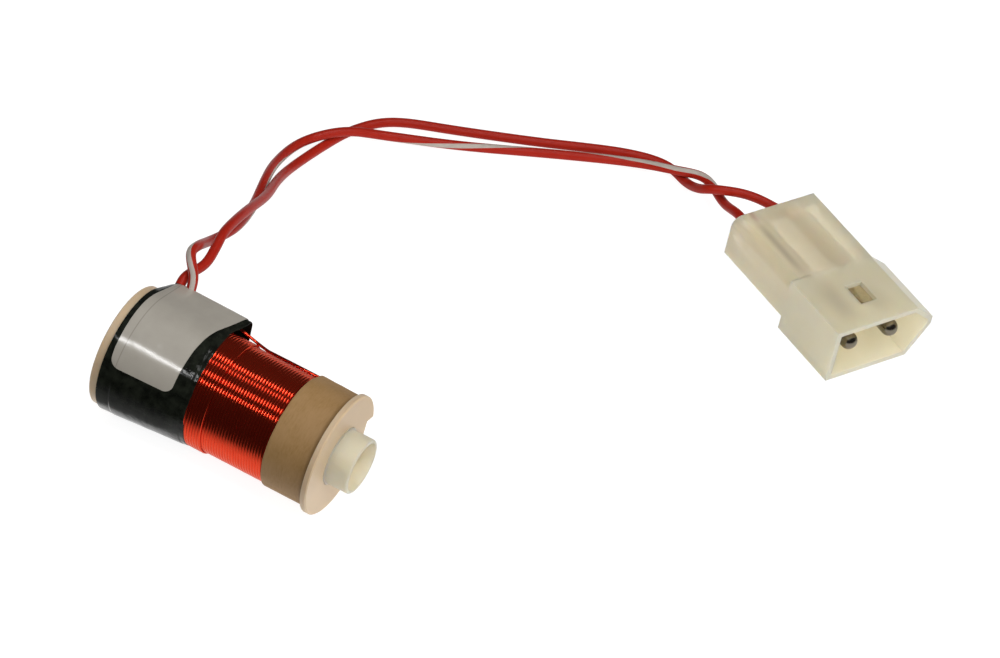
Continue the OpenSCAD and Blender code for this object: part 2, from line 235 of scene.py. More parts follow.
def lead(name, route, turns):
    """An insulated lead along its route, with its centre line and its length. The first sides of
    each ring carry the tracer."""
    line = smooth_route(route)
    rings, runs, run = [], [], 0.0
    for i, spot in enumerate(line):
        ahead = (line[min(i + 1, len(line) - 1)] - line[max(i - 1, 0)]).normalized()
        front = (LENS_BACK - ahead * LENS_BACK.dot(ahead)).normalized()
        right = ahead.cross(front)
        t = i / ROUTE_STEPS
        leg = min(int(t), len(turns) - 2)
        facing = math.radians(turns[leg] + (turns[leg + 1] - turns[leg]) * (t - leg))
        facing -= math.pi * TRACER_SIDES / LEAD_SIDES
        if i:
            run += (spot - line[i - 1]).length / MM
        runs.append(run)
        ring = []
        for k in range(LEAD_SIDES):
            a = facing + 2 * math.pi * k / LEAD_SIDES
            out = 1 + 0.012 * ripple(run / 2.1, 3 * math.cos(a), 3 * math.sin(a))
            way = front * math.cos(a) + right * math.sin(a)
            ring.append(spot + way * out * LEAD_D / 2 * MM)
        rings.append(ring)

    def plan(i, k):
        return math.pi * LEAD_D * k / LEAD_SIDES, runs[min(i, len(runs) - 1)]

    piece = skin(name, rings, tracer=lambda i, k: k < TRACER_SIDES, plan=plan)
    return piece, line, run * MM


striped_lead, striped_line, striped_run = lead("striped_lead", STRIPED_ROUTE, TRACER_TURN)
plain_lead, plain_line, plain_run = lead("plain_lead", PLAIN_ROUTE, [180] * len(PLAIN_ROUTE))


# Winding

TURN_STEPS = 96
FIRST_TURN = -100
WIRE_SIDES = 12
# Half width and half height of a turn that is pressed by its neighbours, in mm
WIRE_FLAT = (0.23, 0.15)


def wound_layer(name, x0, turns, r, seed):
    """One layer of wire wound side by side under tension, so that the turns press on each
    other, each a little out of place."""
    rings = []
    for i in range(turns * TURN_STEPS + 1):
        t = i / TURN_STEPS
        a = 360.0 * t + FIRST_TURN
        stray = 0.05 * WIRE_D * ripple(t * 1.7, seed, 0.3)
        stray += 0.10 * WIRE_D * ripple(round(t) * 0.77, seed, 7.1) * math.sin(math.pi * t) ** 2
        lift = 0.018 * ripple(t * 2.3, seed, 4.4)
        x = x0 + (t + 0.5) * WIRE_D + stray
        core = r + WIRE_D / 2 - WIRE_FLAT[1] + lift
        ring = []
        for k in range(WIRE_SIDES):
            b = 2 * math.pi * k / WIRE_SIDES
            ring.append(coil_spot(
                x + WIRE_FLAT[0] * math.sin(b), a, core + WIRE_FLAT[1] * math.cos(b)))
        rings.append(ring)
    return skin(name, rings)


main_turns = wound_layer("main_turns", MAIN_START, MAIN_TURNS, MAIN_R, 1.3)
top_turns = wound_layer("top_turns", TOP_END - TOP_TURNS * WIRE_D, TOP_TURNS, TOP_R, 5.9)


# Tapes and label

def tent_reach(turn, big, small):
    """Radius of a band of radius big drawn up over a joint by a fold of radius small."""
    off = abs((turn - TENT_TURN + 180) % 360 - 180)
    foot = math.degrees(math.acos((big - small) / JOINT_R))
    a = math.radians(off)
    crest = math.degrees(math.atan2(
        small * math.sin(math.radians(foot)), JOINT_R + small * math.cos(math.radians(foot))))
    if off >= foot:
        return big
    if off >= crest:
        return big / math.cos(math.radians(foot - off))
    return JOINT_R * math.cos(a) + math.sqrt(small ** 2 - (JOINT_R * math.sin(a)) ** 2)


def step(value, edge, width):
    """0 before an edge and 1 after it, over a soft width."""
    t = min(1.0, max(0.0, (value - edge) / width + 0.5))
    return t * t * (3 - 2 * t)


BAND_STEPS = 288
BAND_TURNS = [270 + 360 * k / BAND_STEPS for k in range(BAND_STEPS)]
COVER_STEPS = 144
WRAP_STEPS = 24
PAPER_STEPS = 40
BAND_CREASE = 50.0

# Front edge of the black tape, station by turn
COVER_EDGE = (
    (0, 13.40), (44, 13.45), (66, 12.80), (88, 13.00), (104, 13.27), (122, 13.38),
    (148, 13.45), (168, 13.40), (200, 13.67), (245, 13.70), (300, 13.60), (360, 13.40),
)


def cover_front(turn):
    """Where the black tape ends at a turn: it was wound a little askew."""
    turn %= 360
    for (t0, x0), (t1, x1) in zip(COVER_EDGE, COVER_EDGE[1:]):
        if turn <= t1:
            t = (turn - t0) / (t1 - t0)
            return x0 + (x1 - x0) * t * t * (3 - 2 * t)


def cover_round(x):
    """A station as a share of the black tape's width, and the tape's radius there, away from its
    tent: it tapers towards its front."""
    share = (x - COVER_X[0]) / (COVER_X[1] - COVER_X[0])
    return share, COVER_R[0] + (COVER_R[1] - COVER_R[0]) * share


def cover_base(turn, x, under=0.0):
    """Black tape over the joints, before its wrinkles. Its tent comes down at the back, and it is
    pressed flat where the coil lies on it. under is a depth below its outside."""
    share, big = cover_round(x)
    back = 1 - min(1.0, max(0.0, (x - COVER_X[0]) / TENT_BACK))
    small = TENT_OUT[0] + (TENT_OUT[1] - TENT_OUT[0]) * share - TENT_SINK * back ** 3 - under
    down = -math.sin(math.radians(turn))
    reach = tent_reach(turn, big - under, small)
    return min(reach, (AXIS_Z - TABLE_GAP - under) / down) if down > 0.5 else reach


def wrap_sleeve():
    """Paper wrap under the black tape, drawn in towards the tape's front edge."""
    outside = [COVER_X[0] + 0.1 + WRAP_W * k / WRAP_STEPS for k in range(WRAP_STEPS + 1)]
    stations = outside + outside[::-1]
    rings = []
    for i, x in enumerate(stations):
        r = min(WRAP_R, cover_round(x)[1] - COVER_T - 0.1)
        r -= WRAP_T if i >= len(outside) else 0.0
        rings.append([coil_spot(x, t, r) for t in BAND_TURNS])

    def plan(i, k):
        return 2 * math.pi * WRAP_R * k / BAND_STEPS, stations[i % len(stations)]

    return skin("wrap_sleeve", rings, loop=True, crease=BAND_CREASE, plan=plan)


# A small fold in the black tape beside the label
FOLD_TURN = (106, 147)
FOLD_X = 11.35
FOLD_H = 0.07
FOLD_W = 0.13


def cover_reach(turn, x):
    """Outside of the black tape: its last wrap and the edges of the wraps under it, stretch marks,
    puckers along its front edge and a small fold beside the label."""
    a = math.radians(turn)
    c, s = math.cos(a), math.sin(a)
    front = cover_front(turn)
    last_edge = front - LAST_WRAP_IN + 0.10 * c + 0.06 * ripple(2 * c, 2 * s, 2.0)
    first_edge = LAST_WRAP_X + 0.06 * ripple(2 * c, 2 * s, 5.0)
    last_wrap = step(x, first_edge, WRAP_EDGE) * (1 - step(x, last_edge, WRAP_EDGE))
    stretch = 0.012 * ripple(x / 0.7, 2.2 * c, 2.2 * s)
    stretch += 0.026 * ripple(x / 2.0, 4.5 * c, 4.5 * s)
    rim = max(0.0, 1 - (front - x) / 0.9)
    pucker = rim * (0.05 * ripple(6 * c, 6 * s, 1.5) + 0.03 * ripple(17 * c, 17 * s, x / 0.5))
    beside = step(turn, FOLD_TURN[0], 8) * (1 - step(turn, FOLD_TURN[1], 6))
    beside *= 0.8 + 0.4 * ripple(turn / 5, 1.7)
    crest = FOLD_X + 0.05 * ripple(turn / 7, 3.3)
    fold = FOLD_H * beside * math.exp(-((x - crest) / FOLD_W) ** 2)
    sunk = COVER_SUNK + LAST_WRAP_T * (1 - last_wrap)
    return cover_base(turn, x) - sunk + stretch + pucker + fold


def cover_band():
    """Black tape as one wound band with rounded edges."""
    x0 = COVER_X[0]
    edge = 0.14
    stations = [k / COVER_STEPS for k in range(COVER_STEPS + 1)]
    inner = stations[::16][::-1]
    shares = stations + inner

    def outside(turn, share):
        x1 = cover_front(turn)
        x = x0 + (x1 - x0) * share
        near = min(x - x0, x1 - x)
        drop = 0.0
        if near < edge:
            drop = edge - math.sqrt(max(0.0, edge ** 2 - (edge - near) ** 2))
        return coil_spot(x, turn, cover_reach(turn, x) - drop)

    def inside(turn, share):
        x = x0 + (cover_front(turn) - x0) * share
        return coil_spot(x, turn, cover_base(turn, x, COVER_T))

    def plan(i, k):
        return 2 * math.pi * COVER_R[0] * k / BAND_STEPS, COVER_LAID * shares[i % len(shares)]

    rings = [[outside(t, share) for t in BAND_TURNS] for share in stations]
    rings += [[inside(t, share) for t in BAND_TURNS] for share in inner]
    return skin("cover_band", rings, loop=True, crease=BAND_CREASE, plan=plan)


# The lap of the paper tape's end, and its ridge over the finishing wire
LAP_TURN = 205
LAP_H = 0.06
RIDGE_TURN = 43
RIDGE_H = 0.32
RIDGE_W = 9


def paper_band():
    """Tan paper tape at the front end, its free edge cut a little unevenly and its other
    edge turned up against the flange."""
    x0, x1 = PAPER_X
    stations = [x0 + (x1 - x0) * k / PAPER_STEPS for k in range(PAPER_STEPS + 1)]
    inner = stations[::8][::-1]
    laid = stations + inner

    def outside(turn, x):
        a = math.radians(turn)
        c, s = math.cos(a), math.sin(a)
        flare = 0.10 * step(x, x1 - 0.35, 0.7)
        past_lap = (turn - LAP_TURN) % 360
        lap = LAP_H * step(past_lap, 4, 3) * (1 - step(past_lap, 300, 200))
        off_wire = (turn - RIDGE_TURN + 180) % 360 - 180
        ridge = (RIDGE_H - 0.02 * (x - x0)) * math.exp(-(off_wire / RIDGE_W) ** 2)
        drop = 0.05 * (1 - step(x, x0 + 0.03, 0.1))
        rough = 0.014 * ripple(x / 0.9, 5 * c, 5 * s)
        return PAPER_R[1] - 0.02 + ridge + flare + lap + rough - drop

    def slid(turn, x):
        a = math.radians(turn)
        stray = math.sin(a + 0.6) + ripple(4 * math.cos(a), 4 * math.sin(a), 9.0)
        return x + 0.05 * stray * (x1 - x) / (x1 - x0)

    def plan(i, k):
        return 2 * math.pi * PAPER_R[1] * k / BAND_STEPS, laid[i % len(laid)]

    rings = [[coil_spot(slid(t, x), t, outside(t, x)) for t in BAND_TURNS] for x in stations]
    rings += [[coil_spot(slid(t, x), t, PAPER_R[0] + 0.01) for t in BAND_TURNS] for x in inner]
    return skin("paper_band", rings, loop=True, crease=BAND_CREASE, plan=plan)


# Back and front edge of the label, stations by turn: it lies a little askew on the tapered tape
LABEL_EDGES = (
    (41, 2.45, 12.80), (60, 2.20, 11.95), (75, 2.05, 11.40), (90, 1.95, 11.15),
    (110, 1.95, 10.95), (140, 2.05, 10.85), (156, 2.30, 10.85),
)


def label_edges(turn):
    """Back and front station of the label at a turn."""
    for (t0, a0, b0), (t1, a1, b1) in zip(LABEL_EDGES, LABEL_EDGES[1:]):
        if turn <= t1 or t1 == LABEL_EDGES[-1][0]:
            t = (turn - t0) / (t1 - t0)
            return a0 + (a1 - a0) * t, b0 + (b1 - b0) * t


def bare_label():
    """Film label wrapped over the black tape up to its ridge, with rounded corners below."""
    t0, t1 = LABEL_TURN
    rows, cols = 120, 40
    corner_turn = math.degrees(LABEL_CORNER / COVER_R[0])
    rings, laid = [], []
    for i in range(rows + 1):
        turn = (t0 + t1) / 2 - (t1 - t0) / 2 * math.cos(math.pi * i / rows)
        near = (t1 - turn) / corner_turn
        x0, x1 = label_edges(turn)
        inset = 0.0
        if near < 1:
            inset = LABEL_CORNER * (1 - math.sqrt(max(0.0, 1 - (1 - near) ** 2)))
        top, under = [], []
        for k in range(cols + 1):
            x = x0 + inset + (x1 - x0 - 2 * inset) * k / cols
            seat = cover_reach(turn, x)
            crest = max(seat, cover_base(turn, x) - COVER_SUNK) + LABEL_T / 2
            top.append(coil_spot(x, turn, crest))
            under.append(coil_spot(x, turn, seat - LABEL_T / 2))
        rings.append(top + under[::-1])
        laid.append((math.radians(turn) * COVER_R[0], x0, x1, inset))

    def plan(i, k):
        s, x0, x1, inset = laid[min(i, rows)]
        column = min(k, max(0, 2 * cols + 1 - k))
        return s, x0 + inset + (x1 - x0 - 2 * inset) * column / cols

    return skin("bare_label", rings, plan=plan)


cover = cover_band()
paper = paper_band()
wrap = wrap_sleeve()
label = bare_label()


# Finishing wire

TAIL_STEPS = 48
TAIL_R = 7.5
# From this station back the wire rises, by so much over such a run
TAIL_RISE_X = 17.2
TAIL_RISE = 0.7
TAIL_RUN = 3.8


def slack_wire():
    """Wire from the last turn back over the winding, rising to its joint under the black tape."""
    line = []
    for i in range(TAIL_STEPS + 1):
        t = i / TAIL_STEPS
        x = TAIL_X[0] + (TAIL_X[1] - TAIL_X[0]) * t
        r = TAIL_R + TAIL_RISE * max(0.0, (TAIL_RISE_X - x) / TAIL_RUN) ** 1.2
        turn = TENT_TURN + 2.0 + 2.0 * math.sin(2.2 * math.pi * t)
        line.append(coil_spot(x, turn, r))
    rings = []
    for i, spot in enumerate(line):
        ahead = (line[min(i + 1, TAIL_STEPS)] - line[max(i - 1, 0)]).normalized()
        side = ahead.cross(Vector((0, 0, 1))).normalized()
        rise = side.cross(ahead)
        ring = []
        for k in range(WIRE_SIDES):
            b = 2 * math.pi * k / WIRE_SIDES
            ring.append(spot + (side * math.cos(b) + rise * math.sin(b)) * WIRE_D / 2 * MM)
        rings.append(ring)
    return skin("slack_wire", rings)


tail = slack_wire()


# Moulded pieces, the part's own solids with their edges eased

CORNER_WIDER = 0.6
CORNER_ROUND = 0.55
CORNER_LONG = 5.0
CLOSE = 0.06


def soft_corner(bm):
    """Widens and rounds the moulded corner along the top left of the plug's back part."""
    c, s = math.cos(PLUG_YAW), math.sin(PLUG_YAW)
    corner = set()
    for vert in bm.verts:
        u = vert.co.x / MM + MID_X - PLUG_AT[0]
        v = vert.co.y / MM - PLUG_AT[1]
        left = c * v - s * u - BODY_LEFT
        above = vert.co.z / MM - BODY_TOP
        if abs(left - BODY_EDGE) < CLOSE and abs(above) < CLOSE:
            vert.co += Vector((-s, c, 0)) * CORNER_WIDER * MM
            corner.add(vert)
        elif abs(left) < CLOSE and abs(above + BODY_EDGE) < CLOSE:
            vert.co.z -= CORNER_WIDER * MM
            corner.add(vert)
    edges = [e for e in bm.edges
             if set(e.verts) <= corner and e.calc_length() > CORNER_LONG * MM]
    bmesh.ops.bevel(bm, geom=edges, offset=CORNER_ROUND * MM, segments=4, profile=0.5,
                    affect="EDGES")


def eased(node, name, width, segments=2, crease=35.0, shaped=None):
    """A new piece from a node's solid, its flat faces made whole and its sharp edges rounded by
    width mm. shaped alters the mesh first."""
    bm = bmesh.new()
    bm.from_mesh(nodes[node].data)
    bmesh.ops.remove_doubles(bm, verts=bm.verts, dist=1e-6)
    bmesh.ops.dissolve_limit(bm, angle_limit=math.radians(0.5), verts=bm.verts, edges=bm.edges)
    if shaped:
        shaped(bm)
    mesh = bpy.data.meshes.new(name)
    bm.to_mesh(mesh)
    bm.free()
    piece = shown(name, mesh, crease)
    rounding = piece.modifiers.new("moulded_edges", "BEVEL")
    rounding.width = width * MM
    rounding.segments = segments
    rounding.limit_method = "ANGLE"
    rounding.angle_limit = math.radians(crease)
    return piece


plug = eased("plug_housing", "plug_shell", 0.3, 3, shaped=soft_corner)
former = eased("bobbin", "coil_former", 0.06)
liner = eased("coil_sleeve", "sleeve_tube", 0.05)


# Materials

def linear(code):
    """Linear colour from an sRGB hex code."""
    parts = [int(code[i:i + 2], 16) / 255 for i in (1, 3, 5)]
    return [p / 12.92 if p <= 0.04045 else ((p + 0.055) / 1.055) ** 2.4 for p in parts] + [1.0]


def add(tree, kind, feeds=None, **settings):
    """One shader node with its settings, each input fed by a value or another node's output."""
    made = tree.nodes.new(kind)
    for field, value in settings.items():
        setattr(made, field, value)
    for socket, value in (feeds or {}).items():
        if isinstance(value, bpy.types.NodeSocket):
            tree.links.new(value, made.inputs[socket])
        else:
            made.inputs[socket].default_value = value
    return made


def bare_material(name):
    """A material without nodes, and its node tree."""
    made = bpy.data.materials.new(name)
    made.use_nodes = True
    made.node_tree.nodes.clear()
    return made, made.node_tree


def surface(tree, feeds):
    """The one shader of a material, joined to its output."""
    shader = add(tree, "ShaderNodeBsdfPrincipled", feeds)
    add(tree, "ShaderNodeOutputMaterial", {"Surface": shader.outputs[0]})


# Noise scale of a pattern one millimetre wide
PER_MM = 1000.0
# Heights in the plug over which the painted shade and light on its top fade in, and where along
# it the contacts' tips are painted darker as a painted dark reflection, in mm
PAINTED_SHADE_Z = (6.6, 8.0)
DARK_TIP_U = (20.5, 22.5)


def plug_place(tree, place):
    """Where a point lies in the plug: mm ahead of its back face, across it and above the table."""
    inside = add(tree, "ShaderNodeMapping", {
        "Vector": place.outputs["Object"], "Location": table_spot(*PLUG_AT, 0),
        "Rotation": (0, 0, PLUG_YAW), "Scale": (MM, MM, MM)}, vector_type="TEXTURE")
    return add(tree, "ShaderNodeSeparateXYZ", {0: inside.outputs[0]})


def enamelled_copper():
    """Drawn copper wire under clear red enamel: the metal mirrors the room in red, and the
    enamel's skin turns that pale where it is seen at a slant."""
    made, tree = bare_material("enamelled_copper")
    place = add(tree, "ShaderNodeTexCoord")
    blotch = add(tree, "ShaderNodeTexNoise", {
        "Vector": place.outputs["Object"], "Scale": PER_MM / 1.6, "Detail": 3.0})
    red = add(tree, "ShaderNodeMix", {
        0: blotch.outputs[0], 6: linear("#D83B22"), 7: linear("#E64F32")}, data_type="RGBA")
    gloss = add(tree, "ShaderNodeMapRange", {
        "Value": blotch.outputs[0], "To Min": 0.10, "To Max": 0.14})
    surface(tree, {
        "Base Color": red.outputs[2], "Metallic": 0.95, "Roughness": gloss.outputs[0],
        "Specular Tint": linear("#FFDBCF")})
    return made


def vinyl_tape():
    """Black plasticised vinyl, calendered and pulled tight: deep gloss, stretch marks that run
    round the coil, and soft dents and dull patches where it was pressed down by hand."""
    made, tree = bare_material("vinyl_tape")
    flat = add(tree, "ShaderNodeUVMap", uv_map="flat")
    drawn = add(tree, "ShaderNodeMapping", {"Vector": flat.outputs[0], "Scale": (0.25, 3.0, 1.0)})
    marks = add(tree, "ShaderNodeTexNoise", {
        "Vector": drawn.outputs[0], "Scale": 1.0, "Detail": 4.0})
    place = add(tree, "ShaderNodeTexCoord")
    grain = add(tree, "ShaderNodeTexNoise", {
        "Vector": place.outputs["Object"], "Scale": PER_MM / 0.2, "Detail": 2.0})
    gloss = add(tree, "ShaderNodeMapRange", {
        "Value": marks.outputs[0], "From Min": 0.3, "From Max": 0.7,
        "To Min": 0.06, "To Max": 0.13})
    crumple = add(tree, "ShaderNodeTexNoise", {
        "Vector": flat.outputs[0], "Scale": 0.8, "Detail": 4.0})
    patch = add(tree, "ShaderNodeMapRange", {
        "Value": crumple.outputs[0], "From Min": 0.35, "From Max": 0.65})
    tone = add(tree, "ShaderNodeMix", {
        0: patch.outputs[0], 6: linear("#0F110D"), 7: linear("#21241D")}, data_type="RGBA")
    height = add(tree, "ShaderNodeMath", {
        0: grain.outputs[0], 1: 0.25, 2: marks.outputs[0]}, operation="MULTIPLY_ADD")
    height = add(tree, "ShaderNodeMath", {
        0: crumple.outputs[0], 1: 4.0, 2: height.outputs[0]}, operation="MULTIPLY_ADD")
    dent = add(tree, "ShaderNodeBump", {
        "Height": height.outputs[0], "Strength": 0.6, "Distance": 0.02 * MM})
    surface(tree, {
        "Base Color": tone.outputs[2], "Roughness": gloss.outputs[0], "IOR": 1.53,
        "Specular IOR Level": 0.2, "Normal": dent.outputs[0]})
    return made


def label_film():
    """Top-coated polyester label: pale grey and satin, with a faint line of painted shade where it
    lies over an edge of the tape below."""
    made, tree = bare_material("label_film")
    place = add(tree, "ShaderNodeTexCoord")
    cloud = add(tree, "ShaderNodeTexNoise", {
        "Vector": place.outputs["Object"], "Scale": PER_MM / 2.5, "Detail": 3.0})
    tone = add(tree, "ShaderNodeMix", {
        0: cloud.outputs[0], 6: linear("#A8A297"), 7: linear("#B6B0A5")}, data_type="RGBA")
    # Painted shade: a faint dark line along the edge of the tape's last wrap under the label
    flat = add(tree, "ShaderNodeUVMap", uv_map="flat")
    along = add(tree, "ShaderNodeSeparateXYZ", {0: flat.outputs[0]})
    off = add(tree, "ShaderNodeMath", {0: along.outputs[1], 1: LAST_WRAP_X}, operation="SUBTRACT")
    off = add(tree, "ShaderNodeMath", {0: off.outputs[0]}, operation="ABSOLUTE")
    fold = add(tree, "ShaderNodeMapRange", {
        "Value": off.outputs[0], "From Min": 0.03, "From Max": 0.09, "To Min": 0.4, "To Max": 0.0})
    tone = add(tree, "ShaderNodeMix", {
        0: fold.outputs[0], 6: tone.outputs[2], 7: linear("#6B665E")}, data_type="RGBA")
    gloss = add(tree, "ShaderNodeMapRange", {
        "Value": cloud.outputs[0], "To Min": 0.14, "To Max": 0.22})
    dent = add(tree, "ShaderNodeBump", {
        "Height": cloud.outputs[0], "Strength": 0.2, "Distance": 0.03 * MM})
    surface(tree, {
        "Base Color": tone.outputs[2], "Roughness": gloss.outputs[0], "IOR": 1.55,
        "Coat Weight": 1.0, "Coat Roughness": 0.2, "Coat IOR": 1.5, "Normal": dent.outputs[0]})
    return made


def crepe_paper():
    """Resin-soaked kraft paper tape: matte tan, mottled, with fine fibres round the coil and a
    painted shade where it meets the flange."""
    made, tree = bare_material("crepe_paper")
    flat = add(tree, "ShaderNodeUVMap", uv_map="flat")
    drawn = add(tree, "ShaderNodeMapping", {"Vector": flat.outputs[0], "Scale": (0.7, 2.4, 1.0)})
    fibre = add(tree, "ShaderNodeTexNoise", {
        "Vector": drawn.outputs[0], "Scale": 1.6, "Detail": 6.0, "Roughness": 0.65})
    place = add(tree, "ShaderNodeTexCoord")
    mottle = add(tree, "ShaderNodeTexNoise", {
        "Vector": place.outputs["Object"], "Scale": PER_MM / 2.2, "Detail": 4.0})
    tan = add(tree, "ShaderNodeMix", {
        0: fibre.outputs[0], 6: linear("#886432"), 7: linear("#B69160")}, data_type="RGBA")
    patch = add(tree, "ShaderNodeMapRange", {
        "Value": mottle.outputs[0], "From Min": 0.36, "From Max": 0.66, "To Max": 0.65})
    stain_and_shade = add(tree, "ShaderNodeMix", {
        0: patch.outputs[0], 6: tan.outputs[2], 7: linear("#A88457")}, data_type="RGBA")
    along = add(tree, "ShaderNodeSeparateXYZ", {0: flat.outputs[0]})
    # Painted shade: the tape is painted darker over its last 0.8 mm towards the flange
    crease = add(tree, "ShaderNodeMapRange", {
        "Value": along.outputs[1], "From Min": PAPER_X[1] - 0.8, "From Max": PAPER_X[1],
        "To Max": 0.6}, interpolation_type="SMOOTHSTEP")
    stain_and_shade = add(tree, "ShaderNodeMix", {
        0: crease.outputs[0], 6: stain_and_shade.outputs[2], 7: linear("#5E4526")}, data_type="RGBA")
    dent = add(tree, "ShaderNodeBump", {
        "Height": fibre.outputs[0], "Strength": 0.5, "Distance": 0.05 * MM})
    surface(tree, {
        "Base Color": stain_and_shade.outputs[2], "Roughness": 0.62, "IOR": 1.5, "Normal": dent.outputs[0]})
    return made


def moulded_plastic(name, dark, pale, glow, depth, clear, rough, painted_shades=()):
    """Moulded thermoplastic: light soaks in and softens the edges, over a faint mould grain.
    The last argument gives painted shade and light on the top of the plug, standing in for the
    leads, pins and walls that show dimly through it."""
    made, tree = bare_material(name)
    place = add(tree, "ShaderNodeTexCoord")
    cloud = add(tree, "ShaderNodeTexNoise", {
        "Vector": place.outputs["Object"], "Scale": PER_MM / 4.0, "Detail": 2.0})
    grain = add(tree, "ShaderNodeTexNoise", {
        "Vector": place.outputs["Object"], "Scale": PER_MM / 0.25, "Detail": 2.0})
    tone = add(tree, "ShaderNodeMix", {
        0: cloud.outputs[0], 6: linear(dark), 7: linear(pale)}, data_type="RGBA")
    if painted_shades:
        spot = plug_place(tree, place)
        top = add(tree, "ShaderNodeMapRange", {
            "Value": spot.outputs[2], "From Min": PAINTED_SHADE_Z[0], "From Max": PAINTED_SHADE_Z[1]},
            interpolation_type="SMOOTHSTEP")
    # Painted shade and light: each band darkens or lightens the plug's top where its insides would
    # show through
    for v, half, u0, u1, soft, tint, share in painted_shades:
        off = add(tree, "ShaderNodeMath", {0: spot.outputs[1], 1: v}, operation="SUBTRACT")
        off = add(tree, "ShaderNodeMath", {0: off.outputs[0]}, operation="ABSOLUTE")
        part = add(tree, "ShaderNodeMapRange", {
            "Value": off.outputs[0], "From Min": half, "From Max": 0.0},
            interpolation_type="SMOOTHSTEP")
        start = add(tree, "ShaderNodeMapRange", {
            "Value": spot.outputs[0], "From Min": u0, "From Max": u0 + soft, "To Max": share},
            interpolation_type="SMOOTHSTEP")
        end = add(tree, "ShaderNodeMapRange", {
            "Value": spot.outputs[0], "From Min": u1, "From Max": u1 - soft},
            interpolation_type="SMOOTHSTEP")
        for limit in (start, end, top):
            part = add(tree, "ShaderNodeMath", {
                0: part.outputs[0], 1: limit.outputs[0]}, operation="MULTIPLY")
        tone = add(tree, "ShaderNodeMix", {
            0: part.outputs[0], 6: tone.outputs[2], 7: linear(tint)}, data_type="RGBA")
    gloss = add(tree, "ShaderNodeMapRange", {
        "Value": cloud.outputs[0], "To Min": rough - 0.05, "To Max": rough + 0.05})
    dent = add(tree, "ShaderNodeBump", {
        "Height": grain.outputs[0], "Strength": 0.2, "Distance": 0.02 * MM})
    surface(tree, {
        "Base Color": tone.outputs[2], "Roughness": gloss.outputs[0], "IOR": 1.53,
        "Subsurface Weight": glow, "Subsurface Radius": (1.0, 0.85, 0.6),
        "Subsurface Scale": depth * MM, "Transmission Weight": clear, "Normal": dent.outputs[0]})
    return made


def lead_vinyl(name, dark, pale, rough):
    """Extruded wire insulation: smooth semi-gloss vinyl with slow swells along the lead."""
    made, tree = bare_material(name)
    place = add(tree, "ShaderNodeTexCoord")
    swell = add(tree, "ShaderNodeTexNoise", {
        "Vector": place.outputs["Object"], "Scale": PER_MM / 1.4, "Detail": 3.0})
    tone = add(tree, "ShaderNodeMix", {
        0: swell.outputs[0], 6: linear(dark), 7: linear(pale)}, data_type="RGBA")
    gloss = add(tree, "ShaderNodeMapRange", {
        "Value": swell.outputs[0], "To Min": rough - 0.06, "To Max": rough + 0.06})
    dent = add(tree, "ShaderNodeBump", {
        "Height": swell.outputs[0], "Strength": 0.25, "Distance": 0.03 * MM})
    surface(tree, {
        "Base Color": tone.outputs[2], "Roughness": gloss.outputs[0], "IOR": 1.53,
        "Specular IOR Level": 0.15, "Normal": dent.outputs[0]})
    return made


def bright_metal(name, dark, pale, rough, dark_tip=None):
    """Drawn, plated or melted metal: mirrors the room, in faint blotches. The last argument is a
    darker tone painted on a contact's tip, a painted dark reflection."""
    made, tree = bare_material(name)
    place = add(tree, "ShaderNodeTexCoord")
    wear = add(tree, "ShaderNodeTexNoise", {
        "Vector": place.outputs["Object"], "Scale": PER_MM / 0.5, "Detail": 4.0})
    tone = add(tree, "ShaderNodeMix", {
        0: wear.outputs[0], 6: linear(dark), 7: linear(pale)}, data_type="RGBA")
    # Painted dark reflection: the contact's tip is painted a darker tone
    if dark_tip:
        spot = plug_place(tree, place)
        tip = add(tree, "ShaderNodeMapRange", {
            "Value": spot.outputs[0], "From Min": DARK_TIP_U[0], "From Max": DARK_TIP_U[1]})
        tone = add(tree, "ShaderNodeMix", {
            0: tip.outputs[0], 6: tone.outputs[2], 7: linear(dark_tip)}, data_type="RGBA")
    gloss = add(tree, "ShaderNodeMapRange", {
        "Value": wear.outputs[0], "To Min": rough - 0.08, "To Max": rough + 0.08})
    surface(tree, {
        "Base Color": tone.outputs[2], "Metallic": 1.0, "Roughness": gloss.outputs[0]})
    return made


ENAMEL = enamelled_copper()
TAPE = vinyl_tape()
FILM = label_film()
PAPER = crepe_paper()
FORMER = moulded_plastic("bobbin_nylon", "#CFB594", "#D8C0A0", 0.5, 0.8, 0.0, 0.42)
NYLON = moulded_plastic("sleeve_nylon", "#F3E7CE", "#F9F0DC", 0.9, 1.2, 0.45, 0.34)
# Painted shade and light on the plug's top, for what shows through it: place across,
# half width, start, end, soft ends, tint and share
PLUG_PAINTED_SHADES = (
    (-1.0, 4.4, -1.0, 14.6, 2.5, "#B2A078", 0.32),
    (-5.0, 0.9, 0.2, 14.4, 5.0, "#85796A", 0.42),
    (-4.8, 0.8, -1.5, 2.4, 1.4, "#A8645C", 0.4),
    (2.7, 0.8, -1.5, 8.0, 3.0, "#F4ECDA", 0.4),
    (-4.0, 2.6, 13.5, 25.0, 5.0, "#8E8C84", 0.3),
    (1.5, 2.6, 16.0, 25.0, 4.0, "#96927F", 0.2),
)
PLUG_NYLON = moulded_plastic(
    "plug_nylon", "#F3E9CE", "#F9F1DC", 1.0, 2.0, 0.5, 0.34, PLUG_PAINTED_SHADES)
RED_VINYL = lead_vinyl("red_vinyl", "#A01F14", "#B02A1A", 0.3)
TRACER_INK = lead_vinyl("tracer_ink", "#A89C92", "#C6BBB2", 0.45)
# The contacts' tips are painted darker, a painted dark reflection
TINNED = bright_metal("tinned_brass", "#C6C0B2", "#ECE7DB", 0.24, "#797265")
SOLDER = bright_metal("solder", "#9A9CA0", "#C4C7CA", 0.3)
STRANDS = bright_metal("copper_strands", "#A85C32", "#D08A5A", 0.32)

